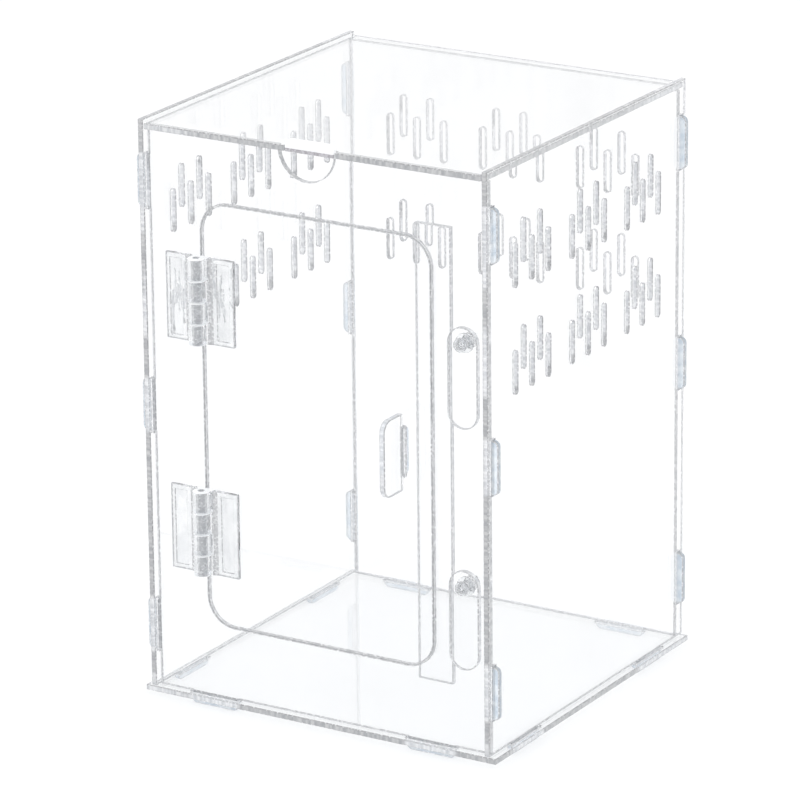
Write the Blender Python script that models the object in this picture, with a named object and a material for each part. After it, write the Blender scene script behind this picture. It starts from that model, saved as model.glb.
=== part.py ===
"""Clear sheet enclosure for small reptiles and insects: six plug-together panels, a sliding lid,
a hinged front door with a finger handle, and two turn-button latches.

Metres, +Z up. The door faces -Y. The feet stand on z = 0.
"""

import math

import bmesh
import bpy
from mathutils import Vector
from mathutils.geometry import tessellate_polygon

# ---- Driving sizes ----------------------------------------------------------------------------
BOX_WIDTH = 0.200  # over the two side panels
BOX_DEPTH = 0.200  # length of the side panels, front edge to rear edge
SIDE_HEIGHT = 0.300  # side panels, without their feet
SHEET = 0.003  # thickness of every cut sheet
FIT = 0.0003  # gap between neighbouring pieces
PROUD = 0.0035  # how far tabs and panel edges stand past the next sheet
FOOT = 0.003  # how far the bottom tabs stand below the base panel
LID_DROP = 0.002  # from the side panels' top edges down to the lid's top face
LID_PLAY = 0.0005  # side gap of the sliding lid

TAB_LENGTH = 0.028
TAB_CORNER = 0.003
TAB_INSET = 0.0325  # from a side panel's top or bottom edge to the middle of the nearest tab
FOOT_INSET = 0.036  # from a corner of the box to the middle of the nearest bottom tab

VENT_WIDTH = 0.003
VENT_LENGTH = 0.022
VENT_PITCH = 0.0081
VENT_RAISE = 0.011  # every second slot of a group sits this much higher
VENTS_IN_GROUP = 5
VENT_GROUPS = 3
VENT_GROUP_PITCH = 0.056
VENT_ROWS = 2
VENT_ROW_PITCH = 0.0544
VENT_INSET = 0.0535  # from a side panel's top edge to the middle of the highest row

NOTCH_RADIUS = 0.0158
NOTCH_RISE = 0.001  # height of the thumb notch's centre above the front panel's top edge
NOTCH_ASIDE = -0.004  # from the front panel's middle to the thumb notch's centre, along X

DOOR_SIDE_MARGIN = 0.034  # from a side panel's outer face to the door's nearest edge
DOOR_END_MARGIN = 0.039  # from the side panels' top or bottom edge to the door's nearest end
DOOR_CORNER = 0.015
DOOR_GAP = 0.0004  # saw cut round the door
STOP_WIDTH = 0.020
STOP_RUN_ON = 0.007  # how far the stop strip runs past each end of the door
STOP_OVERLAP = 0.010  # how much of the door's free edge the stop strip backs

HANDLE_INSET = 0.0175  # from the door's free edge to the middle of the handle
HANDLE_HEIGHT = 0.040
HANDLE_REACH = 0.018  # from the door's face to the handle's outer edge
HANDLE_CORNER = 0.006
HANDLE_TAB = 0.025

PULL_WIDTH = 0.028
PULL_RISE = 0.0035  # how far the lid's pull tab stands above the lid

HINGE_INSET = 0.050  # from the door's end to the middle of the nearest hinge
HINGE_HEIGHT = 0.045
HINGE_LEAF = 0.020  # from the pin's axis to a leaf's outer edge
LEAF_EDGE = 0.002  # a leaf's thickness at its outer edge
LEAF_ROOT = 0.0034  # a leaf's thickness beside the knuckles
KNUCKLES = 4
KNUCKLE_RADIUS = 0.0045
PIN_RADIUS = 0.0015
PIN_CHAMFER = 0.0004

LATCH_END_INSET = 0.0485  # from the door's end down or up to a latch's pivot
LATCH_LENGTH = 0.052
LATCH_WIDTH = 0.017
LATCH_GAP = 0.002  # between a hanging latch and the side panel
SPACER_THICK = 0.0015
SPACER_RADIUS = 0.005
SCREW_RADIUS = 0.0019
HEAD_RADIUS = 0.0035
HEAD_HEIGHT = 0.0023
HEAD_FLAT = 0.0006  # radius of the flat left on top of a screw's dome
NUT_HALF_FLATS = 0.0035
NUT_THICK = 0.003
SCREW_TAIL = 0.001  # thread left standing behind the nut

CORNER_STEPS = 5  # flats in a quarter round of a tab or handle corner
DOOR_STEPS = 12  # flats in a quarter round of the door
VENT_STEPS = 8  # flats in a slot's half-round end
NOTCH_STEPS = 24
ROUND_STEPS = 32  # flats in a full turn
SMOOTH_UP_TO = math.radians(35)  # faces of a moulded piece that meet at less shade as one
WELD = 1e-7  # points nearer than this are one

# ---- Finishes ---------------------------------------------------------------------------------
CLEAR_SHEET = (0.90, 0.94, 0.96, 0.02)  # red, green, blue and roughness
CLEAR_MOULDED = (0.84, 0.88, 0.90, 0.10)
CLEAR_ROD = (0.86, 0.89, 0.91, 0.06)
ACRYLIC_IOR = 1.49
CLEARNESS = 0.9  # share of the light that goes through

# ---- Sizes that follow ------------------------------------------------------------------------
WALL_FOOT = FOOT + SHEET + FIT  # z of every wall's bottom edge
SIDE_TOP = WALL_FOOT + SIDE_HEIGHT
LID_TOP = SIDE_TOP - LID_DROP
LID_UNDER = LID_TOP - SHEET
WALL_TOP = LID_UNDER - FIT  # z of the front and rear panels' top edges
WALL_HEIGHT = WALL_TOP - WALL_FOOT
SIDE_X = (BOX_WIDTH - SHEET) / 2  # middle of a side panel's thickness
WALL_Y = BOX_DEPTH / 2 - PROUD - SHEET / 2  # middle of the front or rear panel's thickness
FACE_Y = -WALL_Y - SHEET / 2  # outer face of the front panel and of the door
BACK_Y = FACE_Y + SHEET  # inner face of the front panel
WALL_HALF = BOX_WIDTH / 2 - SHEET - FIT  # half the front panel's width between the side panels
SIDE_TAB_REACH = BOX_WIDTH / 2 + PROUD - WALL_HALF
FOOT_X = BOX_WIDTH / 2 - FOOT_INSET
FOOT_Y = BOX_DEPTH / 2 - FOOT_INSET
TAB_HEIGHTS = (TAB_INSET, SIDE_HEIGHT / 2, SIDE_HEIGHT - TAB_INSET)
SLOT_WIDTH = SHEET + 2 * FIT
SLOT_LENGTH = TAB_LENGTH + 2 * FIT
DOOR_WIDTH = BOX_WIDTH - 2 * DOOR_SIDE_MARGIN
DOOR_HEIGHT = SIDE_HEIGHT - 2 * DOOR_END_MARGIN
DOOR_MIDDLE = WALL_FOOT + SIDE_HEIGHT / 2  # z of the middle of the door
STOP_HEIGHT = DOOR_HEIGHT + 2 * STOP_RUN_ON
HINGE_OFFSET = DOOR_HEIGHT / 2 - HINGE_INSET  # from the middle of the door to a hinge's middle
LATCH_OFFSET = DOOR_HEIGHT / 2 - LATCH_END_INSET  # from the middle of the door to a latch's pivot
HINGE_X = -DOOR_WIDTH / 2 - DOOR_GAP / 2
HINGE_Y = FACE_Y - FIT - KNUCKLE_RADIUS
HANDLE_X = DOOR_WIDTH / 2 - HANDLE_INSET
LATCH_X = BOX_WIDTH / 2 - SHEET - LATCH_GAP - LATCH_WIDTH / 2
CENTRE_SHIFT = (HANDLE_REACH - PROUD) / 2  # puts the middle of the depth, handle included, at y = 0

LIES_FLAT = (0.0, 0.0, 0.0)
FACES_FRONT = (math.pi / 2, 0.0, 0.0)  # a flat shape's x runs along X and its y along Z
FACES_SIDE = (math.pi / 2, 0.0, math.pi / 2)  # a flat shape's x runs along Y and its y along Z

# ---- Flat shapes ------------------------------------------------------------------------------
def arc(centre, radius, start, end, steps):
    """Points on an arc, both ends included. Angles in radians."""
    angles = [start + (end - start) * i / steps for i in range(steps + 1)]
    return [(centre[0] + radius * math.cos(a), centre[1] + radius * math.sin(a)) for a in angles]


def circle(radius, steps=ROUND_STEPS, centre=(0.0, 0.0)):
    return arc(centre, radius, 0.0, math.tau, steps)[:-1]


def rounded(corners, steps=CORNER_STEPS):
    """The outline through (x, y, radius) corners, each with its own rounding."""
    points = []
    for i, (x, y, radius) in enumerate(corners):
        if radius == 0:
            points.append((x, y))
            continue
        corner = Vector((x, y))
        back = (Vector(corners[i - 1][:2]) - corner).normalized()
        ahead = (Vector(corners[(i + 1) % len(corners)][:2]) - corner).normalized()
        half = back.angle(ahead) / 2
        centre = corner + (back + ahead).normalized() * radius / math.sin(half)
        start = corner + back * radius / math.tan(half) - centre
        turn = start.angle_signed(corner + ahead * radius / math.tan(half) - centre)
        first = math.atan2(start.y, start.x)
        points += arc(centre, radius, first, first - turn, steps)
    return points


def rectangle(x, y, width, height, corner=0.0, steps=CORNER_STEPS):
    left, right = x - width / 2, x + width / 2
    low, high = y - height / 2, y + height / 2
    ends = ((left, low), (right, low), (right, high), (left, high))
    return rounded([(*end, corner) for end in ends], steps)


def obround(x, low, high, width, steps=VENT_STEPS):
    """An upright slot or bar with half-round ends."""
    radius = width / 2
    top = arc((x, high - radius), radius, 0.0, math.pi, steps)
    return top + arc((x, low + radius), radius, math.pi, math.tau, steps)


def edge_with_tabs(start, along, middles, reach):
    """Corners of one straight edge, from its start, with a rounded tab at each middle."""
    outward = Vector((along.y, -along.x))
    corners = [(*start, 0.0)]
    for middle in sorted(middles, key=lambda m: Vector(m).dot(along)):
        offset = (Vector(middle) - start).dot(along)
        first = start + along * (offset - TAB_LENGTH / 2)
        last = start + along * (offset + TAB_LENGTH / 2)
        corners += [
            (*first, 0.0),
            (*(first + outward * reach), TAB_CORNER),
            (*(last + outward * reach), TAB_CORNER),
            (*last, 0.0),
        ]
    return corners


def wall_outline(half_width, height, foot_x, side_tabs=(), side_reach=0.0, top_cut=()):
    """A wall with two feet, tabs up both sides, and a cut in its top edge. Its bottom edge is y = 0."""
    feet = [(-foot_x, 0.0), (foot_x, 0.0)]
    right = [(half_width, y) for y in side_tabs]
    left = [(-half_width, y) for y in side_tabs]
    corners = edge_with_tabs(Vector((-half_width, 0)), Vector((1, 0)), feet, WALL_FOOT)
    corners += edge_with_tabs(Vector((half_width, 0)), Vector((0, 1)), right, side_reach)
    corners += [(half_width, height, 0.0)]
    corners += [(x, y, 0.0) for x, y in top_cut]
    corners += edge_with_tabs(Vector((-half_width, height)), Vector((0, -1)), left, side_reach)
    return rounded(corners)


def vents(height_of_highest_row):
    """Every ventilation slot of one wall."""
    slots = []
    for row in range(VENT_ROWS):
        level = height_of_highest_row - row * VENT_ROW_PITCH
        for group in range(VENT_GROUPS):
            middle = (group - (VENT_GROUPS - 1) / 2) * VENT_GROUP_PITCH
            for i in range(VENTS_IN_GROUP):
                x = middle + (i - (VENTS_IN_GROUP - 1) / 2) * VENT_PITCH
                low = level - VENT_LENGTH / 2 + (VENT_RAISE if i % 2 else 0.0)
                slots.append(obround(x, low, low + VENT_LENGTH, VENT_WIDTH))
    return slots


# ---- Solids -----------------------------------------------------------------------------------
def clear_scene():
    for obj in list(bpy.data.objects):
        bpy.data.objects.remove(obj, do_unlink=True)


def empty(name, location, parent=None):
    obj = bpy.data.objects.new(name, None)
    obj.location = location
    obj.parent = parent
    bpy.context.scene.collection.objects.link(obj)
    return obj


def material(name, finish):
    """A clear plastic. finish is its colour and its roughness."""
    made = bpy.data.materials.new(name + "_finish")
    made.use_nodes = True
    shader = made.node_tree.nodes["Principled BSDF"]
    shader.inputs["Base Color"].default_value = (*finish[:3], 1.0)
    shader.inputs["Roughness"].default_value = finish[3]
    shader.inputs["Metallic"].default_value = 0.0
    shader.inputs["IOR"].default_value = ACRYLIC_IOR
    shader.inputs["Transmission Weight"].default_value = CLEARNESS
    return made


def add_object(name, bm, parent, location, turned, finish, smooth=False):
    mesh = bpy.data.meshes.new(name)
    bmesh.ops.remove_doubles(bm, verts=bm.verts, dist=WELD)
    bmesh.ops.recalc_face_normals(bm, faces=bm.faces)
    bm.to_mesh(mesh)
    bm.free()
    if smooth:
        mesh.shade_smooth()
        mesh.set_sharp_from_angle(angle=SMOOTH_UP_TO)
    obj = bpy.data.objects.new(name, mesh)
    obj.location = location
    obj.rotation_euler = turned
    obj.parent = parent
    mesh.materials.append(material(name, finish))
    bpy.context.scene.collection.objects.link(obj)
    return obj


def cap(bm, rings):
    """Fills the area between the first ring and the holes after it."""
    verts = [v for ring in rings for v in ring]
    for triangle in tessellate_polygon([[v.co for v in ring] for ring in rings]):
        bm.faces.new(verts[i] for i in triangle)


def ring_of(bm, loop, z):
    return [bm.verts.new((x, y, z)) for x, y in loop]


def walls(bm, lower, upper):
    """Side faces between two rings of as many points."""
    for i, low in enumerate(lower):
        bm.faces.new((lower[i - 1], low, upper[i], upper[i - 1]))


def prism(outline, holes, bottom, top):
    """A plate or bar with the given outline and holes."""
    bm = bmesh.new()
    lower = [ring_of(bm, loop, bottom) for loop in (outline, *holes)]
    upper = [ring_of(bm, loop, top) for loop in (outline, *holes)]
    for low, high in zip(lower, upper):
        walls(bm, low, high)
    cap(bm, lower)
    cap(bm, upper)
    return bm


def sheet(name, outline, holes, turned, location, parent, finish=CLEAR_SHEET, thick=SHEET):
    bm = prism(outline, holes, -thick / 2, thick / 2)
    return add_object(name, bm, parent, location, turned, finish)


def turned_piece(profile):
    """A solid of revolution about Z through (radius, z) points, from the bottom up."""
    bm = bmesh.new()
    rings = [ring_of(bm, circle(radius), z) for radius, z in profile]
    for lower, upper in zip(rings, rings[1:]):
        walls(bm, lower, upper)
    cap(bm, rings[:1])
    cap(bm, rings[-1:])
    return bm


# ---- Box --------------------------------------------------------------------------------------
def base_panel(box):
    front_slots = [rectangle(sx * FOOT_X, sy * WALL_Y, SLOT_LENGTH, SLOT_WIDTH)
                   for sx in (-1, 1) for sy in (-1, 1)]
    side_slots = [rectangle(sx * SIDE_X, sy * FOOT_Y, SLOT_WIDTH, SLOT_LENGTH)
                  for sx in (-1, 1) for sy in (-1, 1)]
    outline = rectangle(0, 0, BOX_WIDTH + 2 * PROUD, BOX_DEPTH)
    middle = (0, 0, FOOT + SHEET / 2)
    sheet("base_panel", outline, front_slots + side_slots, LIES_FLAT, middle, box)


def side_panels(box):
    outline = wall_outline(BOX_DEPTH / 2, SIDE_HEIGHT, FOOT_Y)
    slots = [rectangle(sy * WALL_Y, height, SLOT_WIDTH, SLOT_LENGTH)
             for sy in (-1, 1) for height in TAB_HEIGHTS]
    holes = slots + vents(SIDE_HEIGHT - VENT_INSET)
    for name, side in (("left_side_panel", -1), ("right_side_panel", 1)):
        sheet(name, outline, holes, FACES_SIDE, (side * SIDE_X, 0, WALL_FOOT), box)


def rear_panel(box):
    outline = wall_outline(WALL_HALF, WALL_HEIGHT, FOOT_X, TAB_HEIGHTS, SIDE_TAB_REACH)
    holes = vents(SIDE_HEIGHT - VENT_INSET)
    sheet("rear_panel", outline, holes, FACES_FRONT, (0, WALL_Y, WALL_FOOT), box)


def front_panel(box):
    dip = math.asin(NOTCH_RISE / NOTCH_RADIUS)
    notch_centre = (NOTCH_ASIDE, WALL_HEIGHT + NOTCH_RISE)
    notch = arc(notch_centre, NOTCH_RADIUS, -dip, dip - math.pi, NOTCH_STEPS)
    outline = wall_outline(WALL_HALF, WALL_HEIGHT, FOOT_X, TAB_HEIGHTS, SIDE_TAB_REACH, notch)
    opening = rectangle(0, DOOR_MIDDLE - WALL_FOOT, DOOR_WIDTH + 2 * DOOR_GAP,
                        DOOR_HEIGHT + 2 * DOOR_GAP, DOOR_CORNER + DOOR_GAP, DOOR_STEPS)
    centres = [(LATCH_X, DOOR_MIDDLE - WALL_FOOT + side * LATCH_OFFSET) for side in (-1, 1)]
    bolt_holes = [circle(SCREW_RADIUS + FIT, centre=centre) for centre in centres]
    place = (0, -WALL_Y, WALL_FOOT)
    sheet("front_panel", outline, [opening] + bolt_holes, FACES_FRONT, place, box)


def door_stop(box):
    outline = rectangle(0, 0, STOP_WIDTH, STOP_HEIGHT)
    x = DOOR_WIDTH / 2 - STOP_OVERLAP + STOP_WIDTH / 2
    place = (x, BACK_Y + FIT + SHEET / 2, DOOR_MIDDLE)
    sheet("door_stop_strip", outline, [], FACES_FRONT, place, box)


# ---- Lid --------------------------------------------------------------------------------------
def lid(box):
    track = empty("lid_track", (0, 0, LID_UNDER), box)
    half_width = BOX_WIDTH / 2 - SHEET - LID_PLAY
    front, rear = -BOX_DEPTH / 2, BOX_DEPTH / 2
    cut = PULL_WIDTH / 2 + FIT
    seat = front + SHEET + FIT
    outline = [(half_width, front), (half_width, rear), (-half_width, rear), (-half_width, front),
               (-cut, front), (-cut, seat), (cut, seat), (cut, front)]
    sheet("lid_panel", outline, [], LIES_FLAT, (0, 0, SHEET / 2), track)
    half = PULL_WIDTH / 2
    top = SHEET + PULL_RISE
    tab = rounded([(-half, 0, 0), (half, 0, 0), (half, top, TAB_CORNER), (-half, top, TAB_CORNER)])
    sheet("lid_pull_tab", tab, [], FACES_FRONT, (0, front + SHEET / 2, 0), track)


# ---- Door -------------------------------------------------------------------------------------
def door(box):
    axis = empty("door_axis", (HINGE_X, HINGE_Y, DOOR_MIDDLE), box)
    leaf_y = FACE_Y - HINGE_Y
    outline = rectangle(0, 0, DOOR_WIDTH, DOOR_HEIGHT, DOOR_CORNER, DOOR_STEPS)
    slot = rectangle(HANDLE_X, 0, SLOT_WIDTH, HANDLE_TAB + 2 * FIT)
    sheet("door_panel", outline, [slot], FACES_FRONT, (-HINGE_X, leaf_y + SHEET / 2, 0), axis)

    half, tab, tip = HANDLE_HEIGHT / 2, HANDLE_TAB / 2, SHEET + PROUD
    corners = [(-HANDLE_REACH, -half, HANDLE_CORNER), (-FIT, -half, 0), (-FIT, -tab, 0),
               (tip, -tab, TAB_CORNER), (tip, tab, TAB_CORNER), (-FIT, tab, 0),
               (-FIT, half, 0), (-HANDLE_REACH, half, HANDLE_CORNER)]
    place = (HANDLE_X - HINGE_X, leaf_y, 0)
    sheet("door_handle", rounded(corners), [], FACES_SIDE, place, axis)
    return axis


# ---- Hinges -----------------------------------------------------------------------------------
def knuckle_loop(side, clear):
    """A knuckle's outline about the pin's axis, from its leaf's back round to the leaf's front."""
    front = KNUCKLE_RADIUS - LEAF_ROOT
    meets = math.asin(front / KNUCKLE_RADIUS)
    round_part = arc((0, 0), KNUCKLE_RADIUS, math.pi / 2, math.tau + meets, ROUND_STEPS * 3 // 4)
    points = [(clear, KNUCKLE_RADIUS), *round_part, (clear, front)]
    return [(side * x, y) for x, y in points]


def hinge_leaf(name, side, owned, parent, location):
    """A leaf on one side of the pin (+1 runs to +X), with every second knuckle, from owned on."""
    clear = KNUCKLE_RADIUS + FIT
    step = HINGE_HEIGHT / KNUCKLES
    inset = [FIT / 2 if i % 2 == owned else -FIT / 2 for i in range(1, KNUCKLES)]
    shift = [0.0, *inset, 0.0]
    levels = [i * step - HINGE_HEIGHT / 2 + shift[i] for i in range(KNUCKLES + 1)]
    back, edge = KNUCKLE_RADIUS, HINGE_LEAF
    plate = [(edge, back), (clear, back), (clear, back - LEAF_ROOT), (edge, back - LEAF_EDGE)]
    plate = [(side * x, y) for x, y in plate]
    bm = bmesh.new()
    rings = [ring_of(bm, plate, z) for z in levels]
    for i, (low, high) in enumerate(zip(rings, rings[1:])):
        for j in range(4):
            k = (j + 1) % 4
            if not (j == 1 and i % 2 == owned):
                bm.faces.new((low[j], low[k], high[k], high[j]))
    bm.faces.new(rings[0][::-1])
    bm.faces.new(rings[-1])
    loop = knuckle_loop(side, clear)
    for i in range(owned, KNUCKLES, 2):
        lower, upper = (ring_of(bm, loop, z) for z in levels[i:i + 2])
        for j in range(len(loop) - 1):
            bm.faces.new((lower[j], lower[j + 1], upper[j + 1], upper[j]))
        bore_low, bore_high = (ring_of(bm, circle(PIN_RADIUS + FIT), z) for z in levels[i:i + 2])
        walls(bm, bore_low, bore_high)
        cap(bm, [lower, bore_low])
        cap(bm, [upper, bore_high])
    add_object(name, bm, parent, location, LIES_FLAT, CLEAR_MOULDED, smooth=True)


def hinges(box, axis):
    half, neck = HINGE_HEIGHT / 2, PIN_RADIUS - PIN_CHAMFER
    for level, side in (("upper", 1), ("lower", -1)):
        height = side * HINGE_OFFSET
        pin_place = (HINGE_X, HINGE_Y, DOOR_MIDDLE + height)
        hinge_leaf(f"{level}_hinge_frame_leaf", -1, 0, box, pin_place)
        hinge_leaf(f"{level}_hinge_door_leaf", 1, 1, axis, (0, 0, height))
        profile = [(neck, -half), (PIN_RADIUS, PIN_CHAMFER - half),
                   (PIN_RADIUS, half - PIN_CHAMFER), (neck, half)]
        pin = turned_piece(profile)
        add_object(f"{level}_hinge_pin", pin, box, pin_place, LIES_FLAT, CLEAR_ROD, smooth=True)


# ---- Latches ----------------------------------------------------------------------------------
def latch_screw(name, box, pivot, grip):
    """A round-headed screw whose head bears on the bar. Its own z runs out of the panel."""
    dome = [(HEAD_RADIUS * math.cos(a), HEAD_HEIGHT * math.sin(a))
            for a in (math.pi / 2 * i / CORNER_STEPS for i in range(1, CORNER_STEPS))]
    profile = [(SCREW_RADIUS, -grip), (SCREW_RADIUS, 0), (HEAD_RADIUS, 0), *dome,
               (HEAD_FLAT, HEAD_HEIGHT)]
    add_object(name, turned_piece(profile), box, pivot, FACES_FRONT, CLEAR_ROD, smooth=True)


def latches(box):
    spacer_y = FACE_Y - FIT - SPACER_THICK / 2
    bar_y = spacer_y - SPACER_THICK / 2 - FIT - SHEET / 2
    head_y = bar_y - SHEET / 2 - FIT
    nut_y = BACK_Y + FIT + NUT_THICK / 2
    grip = nut_y + NUT_THICK / 2 + SCREW_TAIL - head_y
    hole = circle(SCREW_RADIUS + FIT)
    bar = obround(0, LATCH_WIDTH / 2 - LATCH_LENGTH, LATCH_WIDTH / 2, LATCH_WIDTH, ROUND_STEPS // 2)
    corner = NUT_HALF_FLATS / math.cos(math.pi / 6)
    for level, side in (("upper", 1), ("lower", -1)):
        height = DOOR_MIDDLE + side * LATCH_OFFSET
        pivot = empty(f"{level}_latch_pivot", (LATCH_X, 0, height), box)
        sheet(f"{level}_latch_bar", bar, [hole], FACES_FRONT, (0, bar_y, 0), pivot)
        sheet(f"{level}_latch_spacer", circle(SPACER_RADIUS), [hole], FACES_FRONT,
              (LATCH_X, spacer_y, height), box, CLEAR_MOULDED, SPACER_THICK)
        latch_screw(f"{level}_latch_screw", box, (LATCH_X, head_y, height), grip)
        sheet(f"{level}_latch_nut", circle(corner, 6), [hole], FACES_FRONT,
              (LATCH_X, nut_y, height), box, CLEAR_MOULDED, NUT_THICK)


def main():
    clear_scene()
    box = empty("enclosure", (0, CENTRE_SHIFT, 0))
    base_panel(box)
    side_panels(box)
    rear_panel(box)
    front_panel(box)
    door_stop(box)
    lid(box)
    axis = door(box)
    hinges(box, axis)
    latches(box)
    bpy.context.view_layer.update()


main()
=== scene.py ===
"""Looks for the clear sheet enclosure: cut sheets, moulded hinges, turn latches, studio and camera.

Metres, +Z up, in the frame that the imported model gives. The door faces -Y.
"""

from __future__ import annotations

import logging
import math
from dataclasses import dataclass
from enum import Enum, IntEnum
from typing import Callable

import bpy
from mathutils import Matrix, Vector

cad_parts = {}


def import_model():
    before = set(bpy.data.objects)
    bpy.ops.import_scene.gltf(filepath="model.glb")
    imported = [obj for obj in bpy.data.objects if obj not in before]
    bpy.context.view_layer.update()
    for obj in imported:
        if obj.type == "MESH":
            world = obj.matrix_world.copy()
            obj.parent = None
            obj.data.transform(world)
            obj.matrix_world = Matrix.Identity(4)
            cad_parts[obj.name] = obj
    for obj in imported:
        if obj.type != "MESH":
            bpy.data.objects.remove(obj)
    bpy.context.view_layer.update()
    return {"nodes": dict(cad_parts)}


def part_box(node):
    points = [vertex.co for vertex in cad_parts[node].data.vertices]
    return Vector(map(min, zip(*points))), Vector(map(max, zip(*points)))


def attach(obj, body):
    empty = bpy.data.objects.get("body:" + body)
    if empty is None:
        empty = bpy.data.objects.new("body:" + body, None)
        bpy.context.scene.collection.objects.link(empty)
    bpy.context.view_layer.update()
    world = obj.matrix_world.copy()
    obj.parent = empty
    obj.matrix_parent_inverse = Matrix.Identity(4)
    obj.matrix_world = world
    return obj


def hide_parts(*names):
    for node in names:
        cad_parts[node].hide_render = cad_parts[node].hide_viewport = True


LOG = logging.getLogger("enclosure")

ACRYLIC_IOR = 1.49
WELD = 1e-6  # points nearer than this are one
FLAT = math.radians(1)  # faces that meet at less are one face
CREASE = math.radians(40)  # faces that meet at more meet at an edge
ALONG = 0.95  # cosine above which a face counts as facing along an axis
ASKEW = 0.25  # cosine below which a face counts as square to an axis
FOUR_SIDED = 4  # corners of a rounding's faces; a turned piece's whole end face has more


class Slot(Enum):
    """Names of material slots; fit takes one but does not use it."""

    SHEET = "clear_sheet"
    MOULDING = "clear_moulding"
    ROD = "clear_rod"


class Body(Enum):
    """Moving and fixed bodies; each piece hangs under an empty named after its body."""

    ENCLOSURE = "enclosure"
    DOOR = "door"
    UPPER_LATCH = "upper_latch"
    LOWER_LATCH = "lower_latch"
    LID = "lid"


class Axis(Enum):
    """The world axis that a sheet's thickness runs along."""

    X = 0
    Y = 1
    Z = 2

    @property
    def vector(self) -> Vector:
        """The axis as a unit vector."""
        return Vector([float(i == self.value) for i in range(3)])


class SheetPaint(IntEnum):
    """Places of a cut sheet's finishes in its list of materials."""

    PANE = 0
    EDGE = 1
    TAB = 2
    RIM = 3


class LeafPaint(IntEnum):
    """Places of a hinge leaf's finishes in its list of materials."""

    BODY = 0
    DARK = 1
    KNUCKLE_END_HIGHLIGHT = 2


class Level(Enum):
    """Upper or lower one of a pair of fittings."""

    UPPER = "upper"
    LOWER = "lower"


# ---- Finishes ---------------------------------------------------------------------------------
@dataclass(frozen=True)
class Acrylic:
    """A clear or milky acrylic surface.

    colour and second_colour are what the material's cloudiness runs between. clearness is the
    share of light that goes through, shade the colour of the light that gets past it to the
    floor, and grain_squash the axis along which the grain is drawn out, if there is one. The
    noise between grain_low and grain_high is spread over the whole range.
    """

    name: str
    colour: tuple[float, float, float]
    second_colour: tuple[float, float, float]
    clearness: float
    roughness: float
    second_roughness: float
    shade: tuple[float, float, float]
    grain_per_metre: float
    grain_height: float
    grain_squash: Axis | None = None
    grain_low: float = 0.38
    grain_high: float = 0.62
    grain_detail: float = 3.0

    def material(self) -> bpy.types.Material:
        """Builds the node material.

        Returns:
            The new material.
        """
        made = bpy.data.materials.new(self.name)
        made.use_nodes = True
        tree = made.node_tree
        shader = tree.nodes["Principled BSDF"]
        output = tree.nodes["Material Output"]
        grain = self.grain(tree)
        self.cloud(tree, grain, shader)
        self.relief(tree, grain, shader)
        shader.inputs["IOR"].default_value = ACRYLIC_IOR
        shader.inputs["Transmission Weight"].default_value = self.clearness
        through = self.let_light_by(tree, shader.outputs["BSDF"])
        tree.links.new(through, output.inputs["Surface"])
        return made

    def grain(self, tree: bpy.types.NodeTree) -> bpy.types.NodeSocket:
        """Adds the grain's noise, in object coordinates.

        Args:
            tree: the material's nodes.

        Returns:
            The noise's value.
        """
        place = tree.nodes.new("ShaderNodeTexCoord")
        stretch = tree.nodes.new("ShaderNodeMapping")
        scale = Vector((1.0, 1.0, 1.0))
        if self.grain_squash is not None:
            scale -= self.grain_squash.vector
        stretch.inputs["Scale"].default_value = scale
        noise = tree.nodes.new("ShaderNodeTexNoise")
        noise.inputs["Scale"].default_value = self.grain_per_metre
        noise.inputs["Detail"].default_value = self.grain_detail
        contrast = tree.nodes.new("ShaderNodeMapRange")
        contrast.inputs["From Min"].default_value = self.grain_low
        contrast.inputs["From Max"].default_value = self.grain_high
        tree.links.new(place.outputs["Object"], stretch.inputs["Vector"])
        tree.links.new(stretch.outputs["Vector"], noise.inputs["Vector"])
        tree.links.new(noise.outputs["Fac"], contrast.inputs["Value"])
        return contrast.outputs["Result"]

    def cloud(
        self,
        tree: bpy.types.NodeTree,
        grain: bpy.types.NodeSocket,
        shader: bpy.types.Node,
    ) -> None:
        """Lets the grain vary the colour and the roughness.

        Args:
            tree: the material's nodes.
            grain: the noise's value.
            shader: the surface's shader.
        """
        blend = tree.nodes.new("ShaderNodeMix")
        blend.data_type = "RGBA"
        blend.inputs["A"].default_value = (*self.colour, 1.0)
        blend.inputs["B"].default_value = (*self.second_colour, 1.0)
        tree.links.new(grain, blend.inputs["Factor"])
        tree.links.new(blend.outputs["Result"], shader.inputs["Base Color"])
        spread = tree.nodes.new("ShaderNodeMapRange")
        spread.inputs["To Min"].default_value = self.roughness
        spread.inputs["To Max"].default_value = self.second_roughness
        tree.links.new(grain, spread.inputs["Value"])
        tree.links.new(spread.outputs["Result"], shader.inputs["Roughness"])

    def relief(
        self,
        tree: bpy.types.NodeTree,
        grain: bpy.types.NodeSocket,
        shader: bpy.types.Node,
    ) -> None:
        """Lets the grain lift the surface.

        Args:
            tree: the material's nodes.
            grain: the noise's value.
            shader: the surface's shader.
        """
        if self.grain_height == 0:
            return
        bump = tree.nodes.new("ShaderNodeBump")
        bump.inputs["Distance"].default_value = self.grain_height
        tree.links.new(grain, bump.inputs["Height"])
        tree.links.new(bump.outputs["Normal"], shader.inputs["Normal"])

    def let_light_by(
        self, tree: bpy.types.NodeTree, surface: bpy.types.NodeSocket
    ) -> bpy.types.NodeSocket:
        """Lets rays from lamps and from diffuse surfaces go straight through.

        Args:
            tree: the material's nodes.
            surface: the shader that the eye sees.

        Returns:
            The mixed shader.
        """
        ray = tree.nodes.new("ShaderNodeLightPath")
        clear = tree.nodes.new("ShaderNodeBsdfTransparent")
        clear.inputs["Color"].default_value = (*self.shade, 1.0)
        for kind in ("Is Shadow Ray", "Is Diffuse Ray"):
            mix = tree.nodes.new("ShaderNodeMixShader")
            tree.links.new(ray.outputs[kind], mix.inputs["Fac"])
            tree.links.new(surface, mix.inputs[1])
            tree.links.new(clear.outputs["BSDF"], mix.inputs[2])
            surface = mix.outputs["Shader"]
        return surface


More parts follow.
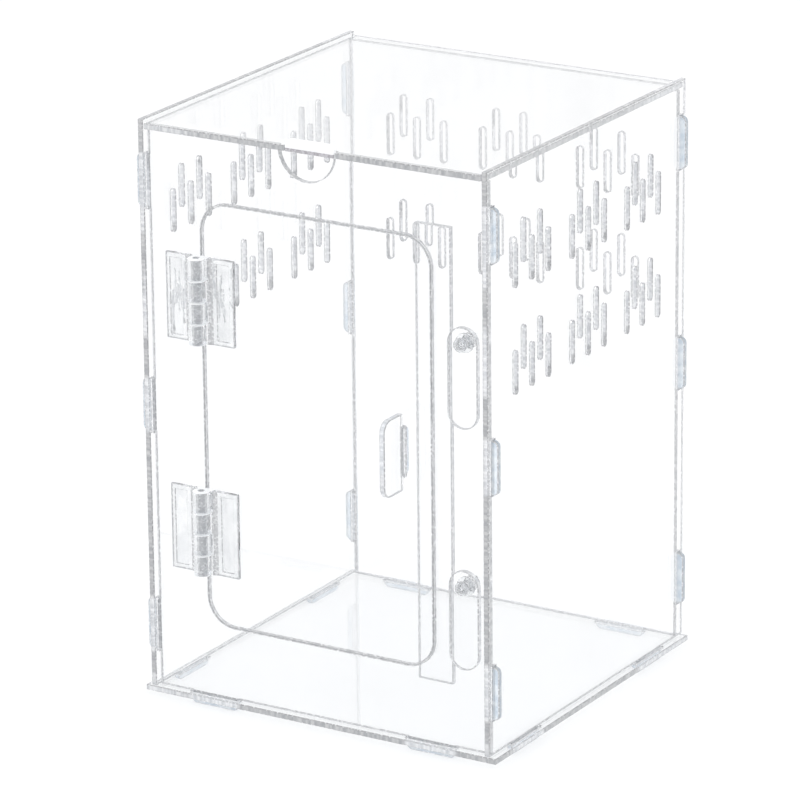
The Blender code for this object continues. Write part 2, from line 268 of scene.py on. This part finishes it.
class Finishes:
    """Every finish of the enclosure, each made once."""

    def __init__(self) -> None:
        """Makes the materials."""
        self.pane = Acrylic(
            name="polished_pane",
            colour=(0.992, 0.993, 0.995),
            second_colour=(0.984, 0.986, 0.989),
            clearness=1.0,
            roughness=0.0,
            second_roughness=0.012,
            shade=(0.986, 0.988, 0.990),
            grain_per_metre=14.0,
            grain_height=0.0,
        ).material()
        # cut edges: real laser lines over a grey painted shade
        self.shaded_cut_edge = {axis: self.laser_cut_and_shade(axis) for axis in Axis}
        # Painted shade: dark grey on the rounded rims of the sheets and leaves, in the hinge bores
        # and on the screw's dish and socket walls.
        self.rim = Acrylic(
            name="cut_rim_painted_shade",
            colour=(0.47, 0.475, 0.49),
            second_colour=(0.66, 0.665, 0.675),
            clearness=0.30,
            roughness=0.16,
            second_roughness=0.30,
            shade=(0.88, 0.885, 0.89),
            grain_per_metre=700.0,
            grain_height=0.00004,
        ).material()
        # Painted shadow: a dark line along the foot of the lid's pull tab.
        self.tab_foot = Acrylic(
            name="tab_foot",
            colour=(0.40, 0.385, 0.41),
            second_colour=(0.54, 0.53, 0.56),
            clearness=0.15,
            roughness=0.20,
            second_roughness=0.32,
            shade=(0.86, 0.865, 0.87),
            grain_per_metre=600.0,
            grain_height=0.00003,
        ).material()
        self.screw = Acrylic(
            name="clear_screw",
            colour=(0.93, 0.935, 0.945),
            second_colour=(0.84, 0.85, 0.865),
            clearness=0.96,
            roughness=0.02,
            second_roughness=0.08,
            shade=(0.93, 0.935, 0.94),
            grain_per_metre=300.0,
            grain_height=0.00002,
        ).material()
        # proud tabs: a pale blue painted glow on the same acrylic
        self.tab = {axis: self.proud_tab_glow(axis) for axis in Axis}
        self.moulded = Acrylic(
            name="clear_moulding",
            colour=(0.955, 0.96, 0.965),
            second_colour=(0.87, 0.88, 0.89),
            clearness=0.96,
            roughness=0.02,
            second_roughness=0.09,
            shade=(0.93, 0.94, 0.95),
            grain_per_metre=160.0,
            grain_height=0.00008,
        ).material()
        self.rod = Acrylic(
            name="turned_rod",
            colour=(0.68, 0.69, 0.71),
            second_colour=(0.50, 0.51, 0.53),
            clearness=0.80,
            roughness=0.04,
            second_roughness=0.12,
            shade=(0.92, 0.93, 0.95),
            grain_per_metre=420.0,
            grain_height=0.00003,
        ).material()
        # Milky white of the lid's pull tab; the same finish is the painted highlight on the hinge
        # knuckles' ends.
        self.milky_and_highlight = Acrylic(
            name="milky_pull_tab_and_knuckle_highlight",
            colour=(0.97, 0.975, 0.98),
            second_colour=(0.93, 0.94, 0.955),
            clearness=0.12,
            roughness=0.30,
            second_roughness=0.42,
            shade=(0.80, 0.82, 0.84),
            grain_per_metre=90.0,
            grain_height=0.00002,
        ).material()

    @staticmethod
    def laser_cut_and_shade(axis: Axis) -> bpy.types.Material:
        """The edge that the laser leaves: fine laser lines across the sheet, running between a grey
        painted shade and pale grey.

        Args:
            axis: the axis of the sheet's thickness.

        Returns:
            The new material.
        """
        return Acrylic(
            name=f"shaded_cut_edge_{axis.name.lower()}",
            colour=(0.64, 0.655, 0.685),
            second_colour=(0.95, 0.955, 0.965),
            clearness=0.42,
            roughness=0.10,
            second_roughness=0.26,
            shade=(0.90, 0.905, 0.91),
            grain_per_metre=520.0,
            grain_height=0.00012,
            grain_squash=axis,
        ).material()

    @staticmethod
    def proud_tab_glow(axis: Axis) -> bpy.types.Material:
        """The end of a tab that stands past the next sheet: glossy, with a pale blue painted glow
        of light led along the sheet.

        Args:
            axis: the axis of the sheet's thickness.

        Returns:
            The new material.
        """
        return Acrylic(
            name=f"proud_tab_glow_{axis.name.lower()}",
            colour=(0.68, 0.755, 0.83),
            second_colour=(0.90, 0.94, 0.97),
            clearness=0.60,
            roughness=0.03,
            second_roughness=0.12,
            shade=(0.90, 0.92, 0.95),
            grain_per_metre=240.0,
            grain_height=0.00006,
            grain_squash=axis,
        ).material()


# ---- Bench: operators used on every piece -----------------------------------------------------
class Bench:
    """Adds, cuts and finishes meshes with Blender's own operators."""

    def __init__(self, nodes: dict[str, bpy.types.Object]) -> None:
        """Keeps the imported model's nodes.

        Args:
            nodes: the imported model's objects by name.
        """
        self.nodes = nodes

    @staticmethod
    def hold(piece: bpy.types.Object) -> None:
        """Makes a piece the only one selected, and the active one."""
        bpy.ops.object.select_all(action="DESELECT")
        piece.select_set(True)
        bpy.context.view_layer.objects.active = piece

    @staticmethod
    def clear_hands() -> None:
        """Deselects everything, so that a new primitive stands alone."""
        bpy.ops.object.select_all(action="DESELECT")

    def merged_copy(self, node: str, name: str) -> bpy.types.Object:
        """Copies a node's mesh as whole faces.

        Args:
            node: the node's name.
            name: the new piece's name.

        Returns:
            The new piece.
        """
        piece = bpy.data.objects.new(name, self.nodes[node].data.copy())
        bpy.context.scene.collection.objects.link(piece)
        piece.data.materials.clear()
        self.hold(piece)
        bpy.ops.mesh.customdata_custom_splitnormals_clear()
        bpy.ops.object.mode_set(mode="EDIT")
        bpy.ops.mesh.select_all(action="SELECT")
        bpy.ops.mesh.remove_doubles(threshold=WELD)
        bpy.ops.mesh.dissolve_limited(angle_limit=FLAT)
        bpy.ops.object.mode_set(mode="OBJECT")
        return piece

    def soften(self, piece: bpy.types.Object, width: float, segments: int = 2) -> None:
        """Rounds every sharp edge a little and keeps the flat faces flat.

        Args:
            piece: the piece to finish.
            width: the rounding's width.
            segments: faces across the rounding.
        """
        self.hold(piece)
        bpy.ops.object.shade_smooth_by_angle(angle=CREASE)
        bevel = piece.modifiers.new("soft_edges", "BEVEL")
        bevel.width = width
        bevel.segments = segments
        bevel.limit_method = "ANGLE"
        bevel.angle_limit = CREASE
        bevel.use_clamp_overlap = False
        bevel.loop_slide = False
        bevel.harden_normals = True
        bpy.ops.object.modifier_apply(modifier=bevel.name)

    @staticmethod
    def is_end_face(face: bpy.types.MeshPolygon, way: int) -> bool:
        """True for a turned piece's whole end face that looks along Y the given way, +1 or -1."""
        return face.normal.y * way > ALONG and len(face.vertices) > FOUR_SIDED

    def split(self, piece: bpy.types.Object, place: float, axis: Axis) -> None:
        """Cuts a line round a piece, so that its two sides can take different finishes.

        Args:
            piece: the piece to cut.
            place: where the cut is along the axis.
            axis: the axis that the cut is square to.
        """
        self.hold(piece)
        bpy.ops.object.mode_set(mode="EDIT")
        bpy.ops.mesh.select_all(action="SELECT")
        bpy.ops.mesh.bisect(plane_co=axis.vector * place, plane_no=axis.vector)
        bpy.ops.object.mode_set(mode="OBJECT")

    def select_faces(
        self, piece: bpy.types.Object, wanted: Callable[[bpy.types.MeshPolygon], bool]
    ) -> None:
        """Selects the faces that a test names and goes into edit mode.

        Args:
            piece: the piece.
            wanted: the test, called with each face.
        """
        self.hold(piece)
        bpy.ops.object.mode_set(mode="EDIT")
        bpy.ops.mesh.select_mode(type="FACE")
        bpy.ops.mesh.select_all(action="DESELECT")
        bpy.ops.object.mode_set(mode="OBJECT")
        for face in piece.data.polygons:
            face.select = wanted(face)
        bpy.ops.object.mode_set(mode="EDIT")

    def cylinder(
        self, name: str, radius: float, depth: float, place: Vector, axis: Axis, sides: int = 48
    ) -> bpy.types.Object:
        """Adds a cylinder whose place is in its mesh.

        Args:
            name: the piece's name.
            radius: its radius.
            depth: its length along the axis.
            place: its middle.
            axis: the axis it lies along.
            sides: its number of sides.

        Returns:
            The new cylinder.
        """
        self.clear_hands()
        turned = {
            Axis.X: (0.0, math.pi / 2, 0.0),
            Axis.Y: (math.pi / 2, 0.0, 0.0),
            Axis.Z: (0.0, 0.0, 0.0),
        }[axis]
        bpy.ops.mesh.primitive_cylinder_add(
            vertices=sides, radius=radius, depth=depth, location=place, rotation=turned
        )
        return self.settle(name)

    def block(self, name: str, low: Vector, high: Vector) -> bpy.types.Object:
        """Adds a block between two corners, with its place in its mesh.

        Args:
            name: the piece's name.
            low: its lowest corner.
            high: its highest corner.

        Returns:
            The new block.
        """
        self.clear_hands()
        bpy.ops.mesh.primitive_cube_add(
            size=1.0, location=(low + high) / 2, scale=high - low
        )
        return self.settle(name)

    @staticmethod
    def settle(name: str) -> bpy.types.Object:
        """Names the active object and moves its place into its mesh.

        Args:
            name: the new name.

        Returns:
            The active object.
        """
        piece = bpy.context.active_object
        piece.name = name
        piece.data.name = name
        bpy.ops.object.transform_apply(location=True, rotation=True, scale=True)
        return piece

    def combine(
        self, piece: bpy.types.Object, other: bpy.types.Object, operation: str
    ) -> None:
        """Joins another solid to a piece, or cuts it away, and removes the other one.

        Args:
            piece: the piece that stays.
            other: the solid to use up.
            operation: UNION or DIFFERENCE.
        """
        self.hold(piece)
        step = piece.modifiers.new("combined", "BOOLEAN")
        step.object = other
        step.operation = operation
        step.solver = "EXACT"
        bpy.ops.object.modifier_apply(modifier=step.name)
        bpy.data.objects.remove(other, do_unlink=True)

    @staticmethod
    def paint(
        piece: bpy.types.Object,
        materials: list[bpy.types.Material],
        choose: Callable[[bpy.types.MeshPolygon], int] = lambda face: 0,
    ) -> None:
        """Gives each face one of several materials.

        Args:
            piece: the piece to paint.
            materials: the materials, in order.
            choose: gives the number of a face's material.
        """
        piece.data.materials.clear()
        for material in materials:
            piece.data.materials.append(material)
        for face in piece.data.polygons:
            face.material_index = choose(face)

    @staticmethod
    def fit(piece: bpy.types.Object, node: str, body: Body, slot: Slot) -> None:
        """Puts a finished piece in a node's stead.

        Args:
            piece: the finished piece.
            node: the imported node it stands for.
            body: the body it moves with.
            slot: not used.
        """
        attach(piece, body.value)
        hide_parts(node)
        LOG.info("%s: %d faces, in place of %s", piece.name, len(piece.data.polygons), node)


# ---- Cut sheets -------------------------------------------------------------------------------
@dataclass
class CutSheet:
    """One laser-cut sheet.

    tab_starts are the places past which the sheet's tabs stand proud, each as an axis, a place
    along it, and +1 or -1 for the way out.
    """

    node: str
    name: str
    axis: Axis
    body: Body
    tab_starts: tuple[tuple[Axis, float, int], ...] = ()
    edge_round: float = 0.0005

    def build(self, bench: Bench) -> bpy.types.Object:
        """Cuts the sheet and softens its edges.

        Args:
            bench: the operators.

        Returns:
            The new sheet.
        """
        piece = bench.merged_copy(self.node, self.name)
        bench.soften(piece, self.edge_round)
        for axis, place, _ in self.tab_starts:
            bench.split(piece, place, axis)
        return piece

    def stands_proud(self, middle: Vector) -> bool:
        """True if a face with this middle belongs to the proud end of a tab."""
        return any((middle[axis.value] - place) * way > 0 for axis, place, way in self.tab_starts)

    def dress(self, piece: bpy.types.Object, finishes: Finishes) -> None:
        """Gives panes their finish, cut edges their laser lines and grey painted shade, proud tabs
        a pale blue painted glow, and the rims round them painted shade.

        Args:
            piece: the built sheet.
            finishes: the enclosure's finishes.
        """
        edge, tab = finishes.shaded_cut_edge[self.axis], finishes.tab[self.axis]
        materials = [finishes.pane, edge, tab, finishes.rim]

        def choose(face: bpy.types.MeshPolygon) -> int:
            facing = abs(face.normal.dot(self.axis.vector))
            if ASKEW < facing < ALONG:
                # the rounded rims between pane and edge get painted shade
                return SheetPaint.RIM
            if self.stands_proud(face.center):
                return SheetPaint.TAB
            return SheetPaint.PANE if facing > ALONG else SheetPaint.EDGE

        Bench.paint(piece, materials, choose)

    def make(self, bench: Bench, finishes: Finishes) -> bpy.types.Object:
        """Builds, dresses and fits the sheet.

        Args:
            bench: the operators.
            finishes: the enclosure's finishes.

        Returns:
            The finished sheet.
        """
        piece = self.build(bench)
        self.dress(piece, finishes)
        bench.fit(piece, self.node, self.body, Slot.SHEET)
        return piece


@dataclass
class PlugTogetherBox:
    """The five fixed panels and the strip that stops the door."""

    bench: Bench
    finishes: Finishes

    def sheets(self) -> list[CutSheet]:
        """The box's sheets, with the places where their tabs come through the next sheet.

        Returns:
            One entry for each sheet.
        """
        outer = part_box("right_side_panel")[1].x
        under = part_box("base_panel")[0].z
        fixed = Body.ENCLOSURE
        foot = ((Axis.Z, under, -1),)
        wall = ((Axis.X, outer, 1), (Axis.X, -outer, -1), (Axis.Z, under, -1))
        return [
            CutSheet("base_panel", "base_sheet", Axis.Z, fixed),
            CutSheet("left_side_panel", "left_side_sheet", Axis.X, fixed, foot),
            CutSheet("right_side_panel", "right_side_sheet", Axis.X, fixed, foot),
            CutSheet("front_panel", "front_sheet", Axis.Y, fixed, wall),
            CutSheet("rear_panel", "rear_sheet", Axis.Y, fixed, wall),
            CutSheet("door_stop_strip", "door_stop", Axis.Y, fixed),
        ]

    def make(self) -> None:
        """Makes every sheet of the box."""
        for sheet in self.sheets():
            sheet.make(self.bench, self.finishes)


@dataclass
class SlidingLid:
    """The lid and its milky pull tab."""

    bench: Bench
    finishes: Finishes
    tab_round: float = 0.0005
    shadow_line_height: float = 0.0019

    def make(self) -> None:
        """Makes the lid's two pieces; the bottom band of the tab gets a dark painted shadow line.
        """
        lid = CutSheet("lid_panel", "lid_sheet", Axis.Z, Body.LID)
        lid.make(self.bench, self.finishes)
        tab = self.bench.merged_copy("lid_pull_tab", "lid_pull")
        self.bench.soften(tab, self.tab_round, segments=3)
        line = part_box("lid_panel")[0].z + self.shadow_line_height
        self.bench.split(tab, line, Axis.Z)
        self.bench.paint(
            tab,
            [self.finishes.milky_and_highlight, self.finishes.tab_foot],
            lambda face: int(face.center.z < line),
        )
        self.bench.fit(tab, "lid_pull_tab", Body.LID, Slot.SHEET)


@dataclass
class FrontDoor:
    """The door's sheet and its finger handle."""

    bench: Bench
    finishes: Finishes
    handle_round: float = 0.0005

    def make(self) -> None:
        """Makes the door's sheet and its handle."""
        CutSheet("door_panel", "door_sheet", Axis.Y, Body.DOOR).make(self.bench, self.finishes)
        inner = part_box("door_panel")[1].y
        handle = CutSheet(
            "door_handle",
            "finger_handle",
            Axis.X,
            Body.DOOR,
            ((Axis.Y, inner, 1),),
            self.handle_round,
        )
        handle.make(self.bench, self.finishes)


# ---- Hinges -----------------------------------------------------------------------------------
@dataclass
class ButtHinge:
    """One clear hinge: two stepped leaves with barrel knuckles, and a pin."""

    bench: Bench
    finishes: Finishes
    level: Level
    knuckles: int = 4
    gap: float = 0.0003
    knuckle_round: float = 0.0007
    web_overlap: float = 0.001
    root_band: float = 0.0032
    plate_drop: float = 0.0013
    plate_thick: float = 0.0034
    pad_margin: float = 0.0020
    pad_step: float = 0.0004
    pad_depth: float = 0.0005
    edge_round: float = 0.0004

    def __post_init__(self) -> None:
        """Takes the hinge's place and sizes from its pin and leaves."""
        low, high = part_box(f"{self.level.value}_hinge_pin")
        self.axis_place = (low + high) / 2
        self.height = high.z - low.z
        self.pin_radius = (high.x - low.x) / 2
        leaf_low, leaf_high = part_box(f"{self.level.value}_hinge_door_leaf")
        self.back = leaf_high.y
        self.radius = (leaf_high.y - leaf_low.y) / 2
        self.reach = leaf_high.x - self.axis_place.x
        self.clear = self.radius + self.gap

    def knuckle(self, number: int, side: int, part_of: str) -> bpy.types.Object:
        """Turns one knuckle with rounded shoulders, its web and its bore.

        Args:
            number: the knuckle's number from the bottom.
            side: +1 if its leaf runs to +X, else -1.
            part_of: the leaf's name.

        Returns:
            The knuckle.
        """
        step = self.height / self.knuckles
        bottom = self.axis_place.z - self.height / 2 + number * step
        low_gap = 0.0 if number == 0 else self.gap / 2
        high_gap = 0.0 if number == self.knuckles - 1 else self.gap / 2
        low, high = bottom + low_gap, bottom + step - high_gap
        middle = Vector((self.axis_place.x, self.axis_place.y, (low + high) / 2))
        barrel = self.bench.cylinder(part_of, self.radius, high - low, middle, Axis.Z)
        self.bench.soften(barrel, self.knuckle_round, segments=4)
        front = self.back - self.plate_thick
        ends = sorted((0.0, side * (self.clear + self.web_overlap)))
        web = self.bench.block(
            "web",
            Vector((self.axis_place.x + ends[0], front, low)),
            Vector((self.axis_place.x + ends[1], self.back, high)),
        )
        self.bench.combine(barrel, web, "UNION")
        hole_radius = self.pin_radius + self.gap
        hole = self.bench.cylinder("hole", hole_radius, step * 2, middle, Axis.Z, sides=32)
        self.bench.combine(barrel, hole, "DIFFERENCE")
        return barrel

    def leaf(self, side: int, owned: int, name: str) -> bpy.types.Object:
        """Builds one leaf: plate, step, sunk pad and its knuckles.

        Args:
            side: +1 if the leaf runs to +X, else -1.
            owned: the number of its lowest knuckle.
            name: the leaf's name.

        Returns:
            The leaf.
        """
        x, z = self.axis_place.x, self.axis_place.z
        ends = sorted((side * self.clear, side * self.reach))
        plate = self.bench.block(
            name,
            Vector((x + ends[0], self.back - self.plate_thick, z - self.height / 2)),
            Vector((x + ends[1], self.back, z + self.height / 2)),
        )
        band = x + side * (self.clear + self.root_band)
        self.bench.split(plate, band, Axis.X)

        def on_outer_front(face: bpy.types.MeshPolygon) -> bool:
            return (face.center.x - band) * side > 0 and face.normal.y < -ALONG

        self.bench.select_faces(plate, on_outer_front)
        bpy.ops.transform.translate(value=(0.0, self.plate_drop, 0.0))
        bpy.ops.object.mode_set(mode="OBJECT")
        self.bench.soften(plate, self.edge_round)
        self.bench.select_faces(plate, on_outer_front)
        bpy.ops.mesh.inset(thickness=self.pad_margin)
        bpy.ops.mesh.inset(thickness=self.pad_step)
        bpy.ops.transform.translate(value=(0.0, self.pad_depth, 0.0))
        bpy.ops.object.mode_set(mode="OBJECT")
        for number in range(owned, self.knuckles, 2):
            self.bench.combine(plate, self.knuckle(number, side, name + "_knuckle"), "UNION")
        self.bench.hold(plate)
        bpy.ops.object.shade_smooth_by_angle(angle=CREASE)
        return plate

    def dress(self, leaf: bpy.types.Object) -> None:
        """Gives a leaf its clear body, painted shade on its rims and bore, and a painted highlight
        on its knuckle ends.

        Args:
            leaf: the built leaf.
        """
        finishes = self.finishes
        bore = self.pin_radius + 2 * self.gap

        def choose(face: bpy.types.MeshPolygon) -> int:
            away = (face.center - self.axis_place).xy.length
            # the knuckle ends get a white painted highlight
            if away < self.radius and abs(face.normal.z) > ASKEW:
                return LeafPaint.KNUCKLE_END_HIGHLIGHT
            # the bore and the rounded rims get painted shade
            if away < bore:
                return LeafPaint.DARK
            if away > self.clear and ASKEW < abs(face.normal.y) < ALONG:
                return LeafPaint.DARK
            return LeafPaint.BODY

        self.bench.paint(leaf, [finishes.moulded, finishes.rim, finishes.milky_and_highlight], choose)

    def pin(self) -> bpy.types.Object:
        """Turns the pin, with rounded ends.

        Returns:
            The pin.
        """
        name = f"{self.level.value}_pin"
        pin = self.bench.cylinder(
            name, self.pin_radius, self.height, self.axis_place, Axis.Z, sides=32
        )
        self.bench.soften(pin, self.pin_radius / 3, segments=3)
        return pin

    def make(self) -> None:
        """Makes, dresses and fits the hinge's three pieces."""
        level = self.level.value
        plan = (
            (-1, 0, f"{level}_frame_leaf", f"{level}_hinge_frame_leaf", Body.ENCLOSURE),
            (1, 1, f"{level}_door_leaf", f"{level}_hinge_door_leaf", Body.DOOR),
        )
        for side, owned, name, node, body in plan:
            leaf = self.leaf(side, owned, name)
            self.dress(leaf)
            self.bench.fit(leaf, node, body, Slot.MOULDING)
        pin = self.pin()
        self.bench.paint(pin, [self.finishes.rod])
        self.bench.fit(pin, f"{level}_hinge_pin", Body.ENCLOSURE, Slot.ROD)


# ---- Latches ----------------------------------------------------------------------------------
@dataclass
class TurnLatch:
    """One turn-button latch: bar, spacer, threaded screw and nut."""

    bench: Bench
    finishes: Finishes
    level: Level
    screw_round: float = 0.0005
    rim_share: float = 0.22
    dish_step: float = 0.0003
    dish_depth: float = 0.0004
    shank_share: float = 0.54
    socket_sides: int = 6
    socket_across: float = 0.0026
    socket_depth: float = 0.0012
    thread_pitch: float = 0.0008
    thread_depth: float = 0.0002
    nut_round: float = 0.0004
    bar_round: float = 0.0005

    def screw(self) -> bpy.types.Object:
        """Turns the screw: threaded shank, round head with a sunk face, six-sided socket.

        Returns:
            The screw.
        """
        level = self.level.value
        low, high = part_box(f"{level}_latch_screw")
        bar_low, bar_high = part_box(f"{level}_latch_bar")
        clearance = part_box(f"{level}_latch_spacer")[0].y - bar_high.y
        shoulder = bar_low.y - clearance
        middle = (low + high) / 2
        head_radius = (high.x - low.x) / 2
        head_middle = Vector((middle.x, (low.y + shoulder) / 2, middle.z))
        head = self.bench.cylinder(
            f"{level}_screw", head_radius, shoulder - low.y, head_middle, Axis.Y
        )
        self.bench.soften(head, self.screw_round, segments=4)
        self.bench.select_faces(head, lambda face: self.bench.is_end_face(face, -1))
        bpy.ops.mesh.inset(thickness=head_radius * self.rim_share)
        bpy.ops.mesh.inset(thickness=self.dish_step)
        bpy.ops.transform.translate(value=(0.0, self.dish_depth, 0.0))
        bpy.ops.object.mode_set(mode="OBJECT")
        self.shank(head, head_radius, high.y - shoulder)
        socket = self.bench.cylinder(
            "socket",
            self.socket_across / 2 / math.cos(math.pi / self.socket_sides),
            self.socket_depth * 2,
            Vector((middle.x, low.y, middle.z)),
            Axis.Y,
            sides=self.socket_sides,
        )
        self.bench.combine(head, socket, "DIFFERENCE")
        self.bench.hold(head)
        bpy.ops.object.shade_smooth_by_angle(angle=CREASE)
        inside = head_radius * (1 - self.rim_share)
        # the dish and socket walls get the rim's painted shade
        self.bench.paint(
            head,
            [self.finishes.screw, self.finishes.rim],
            lambda face: int(self.in_dish(face, middle, inside, shoulder)),
        )
        return head

    @staticmethod
    def in_dish(
        face: bpy.types.MeshPolygon, middle: Vector, inside: float, shoulder: float
    ) -> bool:
        """True for the small walls of the head's dish and socket.

        Args:
            face: the face to judge.
            middle: the screw's middle.
            inside: how far from the screw's axis the dish reaches.
            shoulder: where the head ends along Y.

        Returns:
            Whether the face is one of those walls.
        """
        away = math.hypot(face.center.x - middle.x, face.center.z - middle.z)
        return away < inside and face.center.y < shoulder - WELD and abs(face.normal.y) < ALONG

    def shank(self, head: bpy.types.Object, head_radius: float, length: float) -> None:
        """Grows the threaded shank from the back of the head.

        Args:
            head: the head.
            head_radius: its radius.
            length: how far the shank reaches past it.
        """
        shank_radius = head_radius * self.shank_share
        self.bench.select_faces(head, lambda face: self.bench.is_end_face(face, 1))
        bpy.ops.mesh.inset(thickness=head_radius - self.screw_round - shank_radius)
        for _ in range(int(length / self.thread_pitch)):
            self.thread_turn(shank_radius)
        bpy.ops.object.mode_set(mode="OBJECT")

    def thread_turn(self, radius: float) -> None:
        """Grows the selected end face by one ridge of the thread.

        Args:
            radius: the shank's radius.
        """
        half = self.thread_pitch / 2
        share = 1 - self.thread_depth / radius
        for size in (share, 1 / share):
            bpy.ops.mesh.extrude_region_move(TRANSFORM_OT_translate={"value": (0, half, 0)})
            bpy.ops.transform.resize(value=(size, 1.0, size))

    def make(self) -> None:
        """Makes, dresses and fits the latch's four pieces."""
        level = self.level.value
        body = Body.UPPER_LATCH if self.level is Level.UPPER else Body.LOWER_LATCH
        bar = CutSheet(f"{level}_latch_bar", f"{level}_bar", Axis.Y, body, (), self.bar_round)
        bar.make(self.bench, self.finishes)
        for node, name in ((f"{level}_latch_spacer", "spacer"), (f"{level}_latch_nut", "nut")):
            piece = self.bench.merged_copy(node, f"{level}_{name}")
            self.bench.soften(piece, self.nut_round)
            self.bench.paint(piece, [self.finishes.moulded])
            self.bench.fit(piece, node, Body.ENCLOSURE, Slot.MOULDING)
        screw = self.screw()
        self.bench.fit(screw, f"{level}_latch_screw", Body.ENCLOSURE, Slot.ROD)


# ---- Studio -----------------------------------------------------------------------------------
@dataclass(frozen=True)
class Softbox:
    """One square softbox: its place, its side in metres and its power in watts."""

    name: str
    place: tuple[float, float, float]
    size: float
    power: float

    def hang(self, aim: Vector) -> None:
        """Hangs the softbox.

        Args:
            aim: what it points at.
        """
        lamp = bpy.data.lights.new(self.name, "AREA")
        lamp.size = self.size
        lamp.energy = self.power
        place = Vector(self.place)
        holder = bpy.data.objects.new(self.name, lamp)
        holder.location = place
        holder.rotation_euler = (aim - place).to_track_quat("-Z", "Y").to_euler()
        bpy.context.scene.collection.objects.link(holder)


@dataclass
class Studio:
    """Pale floor, soft surrounding light and two softboxes."""

    floor_size: float = 40.0
    floor_colour: tuple[float, float, float] = (0.905, 0.907, 0.91)
    zenith: tuple[float, float, float] = (1.0, 1.0, 1.0)
    horizon: tuple[float, float, float] = (0.925, 0.93, 0.938)
    horizon_share: float = 0.25
    zenith_share: float = 0.75
    strength: float = 1.06
    floor_roughness: float = 0.7
    floor_gloss: float = 0.1
    aim: tuple[float, float, float] = (0.0, 0.0, 0.15)
    softboxes: tuple[Softbox, ...] = (
        Softbox("key_softbox", (-1.6, -1.8, 2.6), 1.6, 16.0),
        Softbox("fill_softbox", (2.2, 0.6, 2.0), 1.8, 10.0),
    )

    def floor(self) -> None:
        """Lays the floor."""
        Bench.clear_hands()
        bpy.ops.mesh.primitive_plane_add(size=self.floor_size)
        floor = bpy.context.active_object
        floor.name = "studio_floor"
        material = bpy.data.materials.new("studio_floor")
        material.use_nodes = True
        shader = material.node_tree.nodes["Principled BSDF"]
        shader.inputs["Base Color"].default_value = (*self.floor_colour, 1.0)
        shader.inputs["Roughness"].default_value = self.floor_roughness
        shader.inputs["Specular IOR Level"].default_value = self.floor_gloss
        floor.data.materials.append(material)

    def surroundings(self) -> None:
        """Makes the surrounding light, whiter overhead than at the horizon."""
        world = bpy.data.worlds.new("studio")
        bpy.context.scene.world = world
        world.use_nodes = True
        tree = world.node_tree
        place = tree.nodes.new("ShaderNodeTexCoord")
        split = tree.nodes.new("ShaderNodeSeparateXYZ")
        ramp = tree.nodes.new("ShaderNodeValToRGB")
        ramp.color_ramp.elements[0].position = self.horizon_share
        ramp.color_ramp.elements[0].color = (*self.horizon, 1.0)
        ramp.color_ramp.elements[1].position = self.zenith_share
        ramp.color_ramp.elements[1].color = (*self.zenith, 1.0)
        tree.links.new(place.outputs["Generated"], split.inputs["Vector"])
        tree.links.new(split.outputs["Z"], ramp.inputs["Fac"])
        background = tree.nodes["Background"]
        tree.links.new(ramp.outputs["Color"], background.inputs["Color"])
        background.inputs["Strength"].default_value = self.strength

    def set_up(self) -> None:
        """Sets up floor, surroundings and softboxes."""
        self.floor()
        self.surroundings()
        for softbox in self.softboxes:
            softbox.hang(Vector(self.aim))
        bpy.context.scene.view_settings.view_transform = "Standard"
        LOG.info("studio set up")


@dataclass
class ViewCamera:
    """The camera, by its direction from the box, its distance and what it aims at."""

    azimuth: float = math.radians(31.35)
    elevation: float = math.radians(18.32)
    roll: float = math.radians(-0.589)
    distance: float = 2.8117
    aim_right: float = -0.01037
    aim_up: float = 0.13404
    lens: float = 244.48
    sensor: float = 36.0
    reach: float = 60.0

    def place(self) -> None:
        """Places the camera and makes it the scene's own."""
        low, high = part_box("base_panel")
        middle = (low + high) / 2
        foot = Vector((middle.x, middle.y, high.z))
        ahead = Vector(
            (
                -math.sin(self.azimuth) * math.cos(self.elevation),
                math.cos(self.azimuth) * math.cos(self.elevation),
                -math.sin(self.elevation),
            )
        )
        level = Vector((math.cos(self.azimuth), math.sin(self.azimuth), 0.0))
        turn = Matrix.Rotation(self.roll, 3, -ahead)
        right = turn @ level
        up = turn @ level.cross(ahead)
        place = foot + right * self.aim_right + up * self.aim_up - ahead * self.distance
        camera = bpy.data.cameras.new("view_camera")
        camera.sensor_width = self.sensor
        camera.lens = self.lens
        camera.clip_end = self.reach
        holder = bpy.data.objects.new("view_camera", camera)
        turned = Matrix((right, up, -ahead)).transposed()
        holder.matrix_world = Matrix.Translation(place) @ turned.to_4x4()
        bpy.context.scene.collection.objects.link(holder)
        bpy.context.scene.camera = holder


def main() -> None:
    """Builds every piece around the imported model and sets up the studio."""
    logging.basicConfig(level=logging.INFO, format="%(name)s: %(message)s")
    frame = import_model()
    bench = Bench(frame["nodes"])
    finishes = Finishes()
    PlugTogetherBox(bench, finishes).make()
    SlidingLid(bench, finishes).make()
    FrontDoor(bench, finishes).make()
    for level in Level:
        ButtHinge(bench, finishes, level).make()
        TurnLatch(bench, finishes, level).make()
    Studio().set_up()
    ViewCamera().place()


if __name__ == "__main__":
    main()
